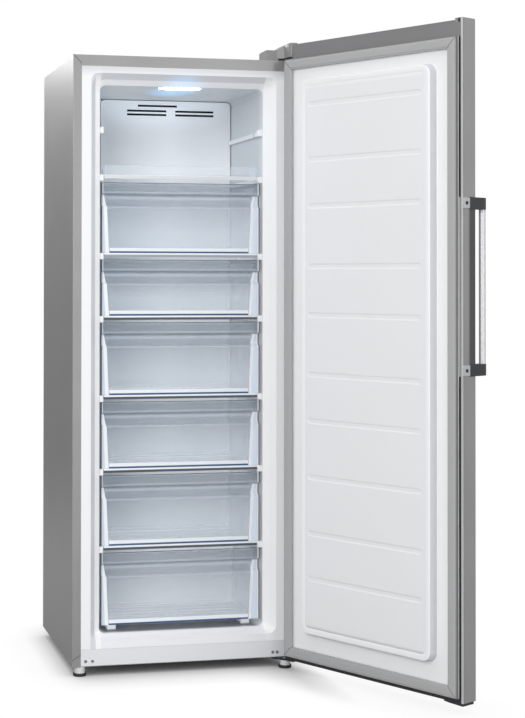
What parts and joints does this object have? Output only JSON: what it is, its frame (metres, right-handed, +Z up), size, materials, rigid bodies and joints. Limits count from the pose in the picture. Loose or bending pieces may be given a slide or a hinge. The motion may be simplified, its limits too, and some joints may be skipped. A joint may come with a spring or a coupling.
{
  "type": "upright freezer",
  "caption": "Tall upright freezer with a right-hinged insulated door, bar handle, glass shelves and clear slide-out drawers, shown with the door open.",
  "frame": {"origin": "middle of the part's footprint on the floor, with the door open at rest", "axes": "+Z up, the cabinet's opening faces -Y, +X to the viewer's right"},
  "size_m": [0.9207, 1.0676, 1.6495],
  "materials": {
    "silver_steel": "silver, satin",
    "rear_steel": "galvanised grey",
    "white_liner": "white, satin",
    "white_fittings": "white, gloss",
    "insulation": "rigid foam",
    "shelf_glass": "clear toughened",
    "clear_plastic": "clear, faint blue",
    "lamp_diffuser": "frosted",
    "grey_seal": "soft grey",
    "grey_plastic": "satin grey",
    "black_plastic": "satin black",
    "bar_metal": "brushed",
    "bright_steel": "zinc plated",
    "dark_steel": "black",
    "black_paint": "black, gloss",
    "mount_rubber": "soft black",
    "tray_plastic": "plain",
    "coil_metal": "bare"
  },
  "bodies": {
    "cabinet": {"outer_cabinet": "silver_steel", "back_panel": "rear_steel", "base_tray": "rear_steel", "bay_cover": "rear_steel", "inner_liner": "white_liner", "evaporator_cover": "white_liner", "kick_plate": "white_liner", "shelf_rails": "white_fittings", "shelf_rims": "white_fittings", "insulation_foam": "insulation", "shelf_glass_1": "shelf_glass", "shelf_glass_2": "shelf_glass", "shelf_glass_3": "shelf_glass", "shelf_glass_4": "shelf_glass", "shelf_glass_5": "shelf_glass", "shelf_glass_6": "shelf_glass", "shelf_guard": "clear_plastic", "lamp_lens": "lamp_diffuser", "top_hinge_cover": "grey_plastic", "rear_feet": "black_plastic", "relay_box": "black_plastic", "kick_screws": "bright_steel", "hinge_screws": "bright_steel", "hinge_pins": "bright_steel", "top_hinge_bracket": "dark_steel", "bottom_hinge_bracket": "dark_steel", "compressor": "black_paint", "compressor_mounts": "mount_rubber", "drip_tray": "tray_plastic", "fan_motor": "tray_plastic", "evaporator_coil": "coil_metal", "condenser": "coil_metal"},
    "door": {"door_panel": "silver_steel", "door_top_cap": "grey_plastic", "door_bottom_cap": "black_plastic", "door_side_trim": "black_plastic", "door_liner": "white_liner", "door_foam": "insulation", "door_gasket": "grey_seal", "handle_bar": "bar_metal", "handle_brackets": "black_plastic", "handle_plates": "bar_metal", "handle_screws": "bright_steel"},
    "drawer_1": {"drawer_tub_1": "clear_plastic", "drawer_front_1": "clear_plastic"},
    "drawer_2": {"drawer_tub_2": "clear_plastic", "drawer_front_2": "clear_plastic"},
    "drawer_3": {"drawer_tub_3": "clear_plastic", "drawer_front_3": "clear_plastic"},
    "drawer_4": {"drawer_tub_4": "clear_plastic", "drawer_front_4": "clear_plastic"},
    "drawer_5": {"drawer_tub_5": "clear_plastic", "drawer_front_5": "clear_plastic"},
    "drawer_6": {"drawer_tub_6": "clear_plastic", "drawer_front_6": "clear_plastic"},
    "fan_wheel": {"fan": "tray_plastic"},
    "left_foot": {"foot_pad_left": "black_plastic", "foot_sleeve_left": "bright_steel"},
    "right_foot": {"foot_pad_right": "black_plastic", "foot_sleeve_right": "bright_steel"}
  },
  "joints": [
    {"name": "door_hinge", "type": "hinge", "parent": "cabinet", "child": "door", "pos_m": [0.1231, -0.0068, 0.85], "axis": [0, 0, 1], "range_deg": [-117.7, 14.5]},
    {"name": "drawer_1_slide", "type": "slide", "parent": "cabinet", "child": "drawer_1", "axis": [0, -1, 0], "range_m": [0, 0.23]},
    {"name": "drawer_2_slide", "type": "slide", "parent": "cabinet", "child": "drawer_2", "axis": [0, -1, 0], "range_m": [0, 0.23]},
    {"name": "drawer_3_slide", "type": "slide", "parent": "cabinet", "child": "drawer_3", "axis": [0, -1, 0], "range_m": [0, 0.23]},
    {"name": "drawer_4_slide", "type": "slide", "parent": "cabinet", "child": "drawer_4", "axis": [0, -1, 0], "range_m": [0, 0.23]},
    {"name": "drawer_5_slide", "type": "slide", "parent": "cabinet", "child": "drawer_5", "axis": [0, -1, 0], "range_m": [0, 0.23]},
    {"name": "drawer_6_slide", "type": "slide", "parent": "cabinet", "child": "drawer_6", "axis": [0, -1, 0], "range_m": [0, 0.175]},
    {"name": "fan_spin", "type": "hinge", "parent": "cabinet", "child": "fan_wheel", "pos_m": [-0.118, 0.433, 1.3833], "axis": [0, 1, 0], "continuous": true},
    {"name": "left_foot_turn", "type": "hinge", "parent": "cabinet", "child": "left_foot", "pos_m": [-0.438, 0.04, 0.01], "axis": [0, 0, 1], "continuous": true},
    {"name": "right_foot_turn", "type": "hinge", "parent": "cabinet", "child": "right_foot", "pos_m": [0.108, 0.015, 0.01], "axis": [0, 0, 1], "continuous": true}
  ]
}
